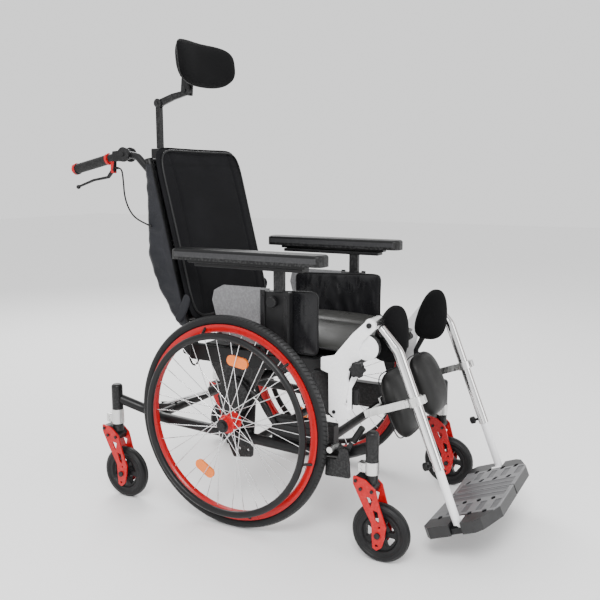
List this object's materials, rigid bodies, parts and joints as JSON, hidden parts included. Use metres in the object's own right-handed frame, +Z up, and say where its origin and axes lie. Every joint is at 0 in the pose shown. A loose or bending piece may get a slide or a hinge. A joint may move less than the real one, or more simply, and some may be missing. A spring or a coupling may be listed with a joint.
{
  "type": "tilt-in-space manual wheelchair",
  "caption": "Tilt-in-space manual wheelchair with reclining back, headrest, swing-away elevating legrests, flip-up footplates and swivel casters at both ends.",
  "frame": {"origin": "on the floor under the middle of the chair's box", "axes": "+X to the occupant's left, -Y forward, +Z up"},
  "size_m": [0.695, 1.3848, 1.39],
  "materials": {
    "frame_black": "satin",
    "red_paint": "gloss",
    "white_paint": "gloss",
    "bright_aluminium": "polished",
    "steel": "polished",
    "black_rubber": "matte",
    "tyre": "matte",
    "black_plastic": "satin",
    "grey_plastic": "satin",
    "black_vinyl": "satin",
    "grey_vinyl": "satin",
    "mesh_fabric": "matte",
    "nylon": "matte"
  },
  "bodies": {
    "base": {"right_base_rail": "frame_black", "left_base_rail": "frame_black", "base_cross_frame": "frame_black"},
    "right_drive_wheel": {"right_tyre": "tyre", "right_rim": "red_paint", "right_spokes": "steel", "right_hub": "red_paint", "right_handrim": "black_plastic"},
    "right_front_caster_fork": {"right_front_fork": "red_paint"},
    "right_front_caster": {"right_front_caster_wheel": "black_plastic"},
    "right_rear_caster_fork": {"right_rear_fork": "red_paint"},
    "right_rear_caster": {"right_rear_caster_wheel": "black_plastic"},
    "right_parking_brake": {"right_parking_brake_lever": "black_plastic"},
    "left_drive_wheel": {"left_tyre": "tyre", "left_rim": "red_paint", "left_spokes": "steel", "left_hub": "red_paint", "left_handrim": "black_plastic"},
    "left_front_caster_fork": {"left_front_fork": "red_paint"},
    "left_front_caster": {"left_front_caster_wheel": "black_plastic"},
    "left_rear_caster_fork": {"left_rear_fork": "red_paint"},
    "left_rear_caster": {"left_rear_caster_wheel": "black_plastic"},
    "left_parking_brake": {"left_parking_brake_lever": "black_plastic"},
    "seat": {"seat_frame": "frame_black", "seat_cushion": "grey_vinyl", "side_guards": "grey_plastic", "side_pads": "black_vinyl"},
    "back": {"back_frame": "frame_black", "back_cushion": "mesh_fabric", "back_cover": "nylon", "brake_cables": "black_plastic"},
    "tilt_cylinder": {"tilt_spring_cylinder": "frame_black"},
    "tilt_rod": {"tilt_spring_rod": "steel"},
    "recline_cylinder": {"recline_spring_cylinder": "frame_black"},
    "recline_rod": {"recline_spring_rod": "steel"},
    "head_post": {"headrest_post": "frame_black"},
    "head_link": {"headrest_link": "frame_black"},
    "head_pad": {"headrest_pad": "black_vinyl"},
    "right_handle": {"right_push_handle": "frame_black", "right_hand_grip": "black_rubber"},
    "right_hand_lever": {"right_brake_lever": "frame_black"},
    "right_armrest": {"right_armrest_post": "frame_black", "right_armrest_pad": "black_plastic"},
    "right_legrest": {"right_hanger": "white_paint", "right_knee_pad": "mesh_fabric"},
    "right_leg": {"right_leg_tube": "bright_aluminium"},
    "right_lower_leg": {"right_lower_tube": "white_paint"},
    "right_foot": {"right_footplate": "grey_plastic"},
    "right_calf": {"right_calf_pad": "black_vinyl"},
    "left_handle": {"left_push_handle": "frame_black", "left_hand_grip": "black_rubber"},
    "left_hand_lever": {"left_brake_lever": "frame_black"},
    "left_armrest": {"left_armrest_post": "frame_black", "left_armrest_pad": "black_plastic"},
    "left_legrest": {"left_hanger": "white_paint", "left_knee_pad": "mesh_fabric"},
    "left_leg": {"left_leg_tube": "bright_aluminium"},
    "left_lower_leg": {"left_lower_tube": "white_paint"},
    "left_foot": {"left_footplate": "grey_plastic"},
    "left_calf": {"left_calf_pad": "black_vinyl"}
  },
  "joints": [
    {"name": "right_wheel_spin", "type": "hinge", "parent": "base", "child": "right_drive_wheel", "pos_m": [-0.298, 0.0406, 0.305], "axis": [-1, 0, 0], "continuous": true},
    {"name": "right_front_swivel", "type": "hinge", "parent": "base", "child": "right_front_caster_fork", "pos_m": [-0.283, -0.3844, 0.26], "axis": [0, 0, 1], "continuous": true},
    {"name": "right_front_roll", "type": "hinge", "parent": "right_front_caster_fork", "child": "right_front_caster", "pos_m": [-0.283, -0.4124, 0.079], "axis": [-1, 0, 0], "continuous": true},
    {"name": "right_rear_swivel", "type": "hinge", "parent": "base", "child": "right_rear_caster_fork", "pos_m": [-0.283, 0.4676, 0.26], "axis": [0, 0, 1], "continuous": true},
    {"name": "right_rear_roll", "type": "hinge", "parent": "right_rear_caster_fork", "child": "right_rear_caster", "pos_m": [-0.283, 0.4396, 0.079], "axis": [-1, 0, 0], "continuous": true},
    {"name": "right_parking_brake_turn", "type": "hinge", "parent": "base", "child": "right_parking_brake", "pos_m": [-0.2705, -0.3044, 0.268], "axis": [-1, 0, 0], "range_deg": [0, 20]},
    {"name": "left_wheel_spin", "type": "hinge", "parent": "base", "child": "left_drive_wheel", "pos_m": [0.298, 0.0406, 0.305], "axis": [-1, 0, 0], "continuous": true},
    {"name": "left_front_swivel", "type": "hinge", "parent": "base", "child": "left_front_caster_fork", "pos_m": [0.283, -0.3844, 0.26], "axis": [0, 0, 1], "continuous": true},
    {"name": "left_front_roll", "type": "hinge", "parent": "left_front_caster_fork", "child": "left_front_caster", "pos_m": [0.283, -0.4124, 0.079], "axis": [-1, 0, 0], "continuous": true},
    {"name": "left_rear_swivel", "type": "hinge", "parent": "base", "child": "left_rear_caster_fork", "pos_m": [0.283, 0.4676, 0.26], "axis": [0, 0, 1], "continuous": true},
    {"name": "left_rear_roll", "type": "hinge", "parent": "left_rear_caster_fork", "child": "left_rear_caster", "pos_m": [0.283, 0.4396, 0.079], "axis": [-1, 0, 0], "continuous": true},
    {"name": "left_parking_brake_turn", "type": "hinge", "parent": "base", "child": "left_parking_brake", "pos_m": [0.2705, -0.3044, 0.268], "axis": [-1, 0, 0], "range_deg": [0, 20]},
    {"name": "seat_tilt", "type": "hinge", "parent": "base", "child": "seat", "pos_m": [0, 0.0656, 0.359], "axis": [-1, 0, 0], "range_deg": [0, 20]},
    {"name": "back_recline", "type": "hinge", "parent": "seat", "child": "back", "pos_m": [0, 0.2546, 0.515], "axis": [-1, 0, 0], "range_deg": [0, 30]},
    {"name": "tilt_cylinder_turn", "type": "hinge", "parent": "seat", "child": "tilt_cylinder", "pos_m": [-0.15, -0.0594, 0.44], "axis": [1, 0, 0], "range_deg": [-1, 16]},
    {"name": "tilt_rod_slide", "type": "slide", "parent": "tilt_cylinder", "child": "tilt_rod", "axis": [0, -0.933, 0.3598], "range_m": [-0.002, 0.02]},
    {"name": "recline_cylinder_turn", "type": "hinge", "parent": "seat", "child": "recline_cylinder", "pos_m": [0.15, -0.0544, 0.425], "axis": [-1, 0, 0], "range_deg": [-1, 3]},
    {"name": "recline_rod_slide", "type": "slide", "parent": "recline_cylinder", "child": "recline_rod", "axis": [0, -0.999, -0.0442], "range_m": [-0.002, 0.05]},
    {"name": "headrest_height", "type": "slide", "parent": "back", "child": "head_post", "axis": [0, 0, 1], "range_m": [-0.08, 0.04]},
    {"name": "headrest_link_turn", "type": "hinge", "parent": "head_post", "child": "head_link", "pos_m": [0, 0.5006, 1.219], "axis": [-1, 0, 0], "range_deg": [-25, 25]},
    {"name": "headrest_pad_turn", "type": "hinge", "parent": "head_link", "child": "head_pad", "pos_m": [0, 0.3866, 1.252], "axis": [-1, 0, 0], "range_deg": [-20, 20]},
    {"name": "right_handle_turn", "type": "hinge", "parent": "back", "child": "right_handle", "pos_m": [-0.195, 0.4706, 1.05], "axis": [1, 0, 0], "range_deg": [0, 40]},
    {"name": "right_hand_brake", "type": "hinge", "parent": "right_handle", "child": "right_hand_lever", "pos_m": [-0.195, 0.5286, 1.004], "axis": [1, 0, 0], "range_deg": [0, 10], "stiffness_Nm_per_rad": 1, "springref_deg": -5.73},
    {"name": "right_armrest_height", "type": "slide", "parent": "seat", "child": "right_armrest", "axis": [0, 0, 1], "range_m": [0, 0.08]},
    {"name": "right_legrest_swing", "type": "hinge", "parent": "seat", "child": "right_legrest", "pos_m": [-0.24, -0.2554, 0.42], "axis": [0, 0, -1], "range_deg": [0, 20]},
    {"name": "right_leg_elevation", "type": "hinge", "parent": "right_legrest", "child": "right_leg", "pos_m": [-0.214, -0.3614, 0.612], "axis": [-1, 0, 0], "range_deg": [0, 60]},
    {"name": "right_leg_length", "type": "slide", "parent": "right_leg", "child": "right_lower_leg", "axis": [0, 0.3665, 0.9304], "range_m": [0, 0.08]},
    {"name": "right_footplate_flip", "type": "hinge", "parent": "right_lower_leg", "child": "right_foot", "pos_m": [-0.192, -0.5906, 0.11642], "axis": [0, -0.9304, 0.3665], "range_deg": [0, 90]},
    {"name": "right_calf_swing", "type": "hinge", "parent": "right_leg", "child": "right_calf", "pos_m": [-0.214, -0.47185, 0.41787], "axis": [0, -0.3665, -0.9304], "range_deg": [0, 90]},
    {"name": "left_handle_turn", "type": "hinge", "parent": "back", "child": "left_handle", "pos_m": [0.195, 0.4706, 1.05], "axis": [1, 0, 0], "range_deg": [0, 40]},
    {"name": "left_hand_brake", "type": "hinge", "parent": "left_handle", "child": "left_hand_lever", "pos_m": [0.195, 0.5286, 1.004], "axis": [1, 0, 0], "range_deg": [0, 10], "stiffness_Nm_per_rad": 1, "springref_deg": -5.73},
    {"name": "left_armrest_height", "type": "slide", "parent": "seat", "child": "left_armrest", "axis": [0, 0, 1], "range_m": [0, 0.08]},
    {"name": "left_legrest_swing", "type": "hinge", "parent": "seat", "child": "left_legrest", "pos_m": [0.24, -0.2554, 0.42], "axis": [0, 0, 1], "range_deg": [0, 20]},
    {"name": "left_leg_elevation", "type": "hinge", "parent": "left_legrest", "child": "left_leg", "pos_m": [0.214, -0.3614, 0.612], "axis": [-1, 0, 0], "range_deg": [0, 60]},
    {"name": "left_leg_length", "type": "slide", "parent": "left_leg", "child": "left_lower_leg", "axis": [0, 0.3665, 0.9304], "range_m": [0, 0.08]},
    {"name": "left_footplate_flip", "type": "hinge", "parent": "left_lower_leg", "child": "left_foot", "pos_m": [0.192, -0.5906, 0.11642], "axis": [0, 0.9304, -0.3665], "range_deg": [0, 90]},
    {"name": "left_calf_swing", "type": "hinge", "parent": "left_leg", "child": "left_calf", "pos_m": [0.214, -0.47185, 0.41787], "axis": [0, 0.3665, 0.9304], "range_deg": [0, 90]}
  ],
  "couplings": [
    {"joint": "tilt_cylinder_turn", "follows": "seat_tilt", "ratio": 0.71643},
    {"joint": "tilt_rod_slide", "follows": "seat_tilt", "m_per_rad": 0.04417},
    {"joint": "recline_cylinder_turn", "follows": "back_recline", "ratio": 0.035391},
    {"joint": "recline_rod_slide", "follows": "back_recline", "m_per_rad": 0.079277}
  ]
}
